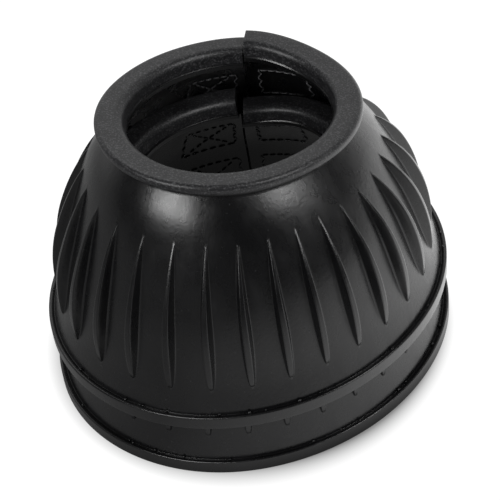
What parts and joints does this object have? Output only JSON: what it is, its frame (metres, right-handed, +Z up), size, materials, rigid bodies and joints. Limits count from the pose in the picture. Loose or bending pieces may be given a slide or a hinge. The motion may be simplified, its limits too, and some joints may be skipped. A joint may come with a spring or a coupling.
{
  "type": "bell boots",
  "caption": "Nested pair of ribbed rubber bell boots for a horse, split at the back and closed with hook-and-loop straps.",
  "frame": {"origin": "centre of the underside of the lower boot's lip, on the ground", "axes": "+Z up along the axis of both boots, +Y towards the upper boot's split at the back, -Y the front of the boots, +X the wearer-side half that swings open"},
  "size_m": [0.18, 0.18, 0.1308],
  "materials": {
    "rubber": "satin moulded black rubber",
    "webbing": "woven nylon webbing",
    "hook_pile": "moulded hooks",
    "loop_pile": "brushed loops",
    "thread": "twisted nylon thread"
  },
  "bodies": {
    "lower_boot": {"lower_shell": "rubber", "lower_top_strap": "webbing", "lower_bottom_strap": "webbing", "lower_top_hook_patch": "hook_pile", "lower_bottom_hook_patch": "hook_pile", "lower_top_loop_patch": "loop_pile", "lower_bottom_loop_patch": "loop_pile", "lower_top_tab_stitches": "thread", "lower_bottom_tab_stitches": "thread", "lower_strap_stitches": "thread", "lower_loop_stitches": "thread"},
    "upper_boot": {"upper_shell_left": "rubber", "upper_top_strap_base": "webbing", "upper_bottom_strap_base": "webbing", "upper_strap_stitches": "thread"},
    "upper_right_half": {"upper_shell_right": "rubber", "upper_top_loop_patch": "loop_pile", "upper_bottom_loop_patch": "loop_pile", "upper_loop_stitches": "thread"},
    "upper_top_tab": {"upper_top_strap_tab": "webbing", "upper_top_hook_patch": "hook_pile", "upper_top_tab_stitches": "thread"},
    "upper_bottom_tab": {"upper_bottom_strap_tab": "webbing", "upper_bottom_hook_patch": "hook_pile", "upper_bottom_tab_stitches": "thread"}
  },
  "joints": [
    {"name": "upper_boot_lift", "type": "slide", "parent": "lower_boot", "child": "upper_boot", "axis": [0, 0, 1], "range_m": [0, 0.15]},
    {"name": "upper_boot_opening", "type": "hinge", "parent": "upper_boot", "child": "upper_right_half", "pos_m": [0.00962, -0.0915, 0.0358], "axis": [0.0361, -0.3438, -0.9383], "range_deg": [0, 55]},
    {"name": "upper_top_strap_peel", "type": "hinge", "parent": "upper_boot", "child": "upper_top_tab", "pos_m": [-0.00295, 0.07092, 0.09333], "axis": [0.0169, -0.4072, 0.9132], "range_deg": [0, 120]},
    {"name": "upper_bottom_strap_peel", "type": "hinge", "parent": "upper_boot", "child": "upper_bottom_tab", "pos_m": [-0.00299, 0.08196, 0.0589], "axis": [0.0087, -0.2382, 0.9712], "range_deg": [0, 120]}
  ],
  "couplings": [
    {"joint": "upper_top_strap_peel", "follows": "upper_boot_opening", "ratio": 2},
    {"joint": "upper_bottom_strap_peel", "follows": "upper_boot_opening", "ratio": 2}
  ]
}
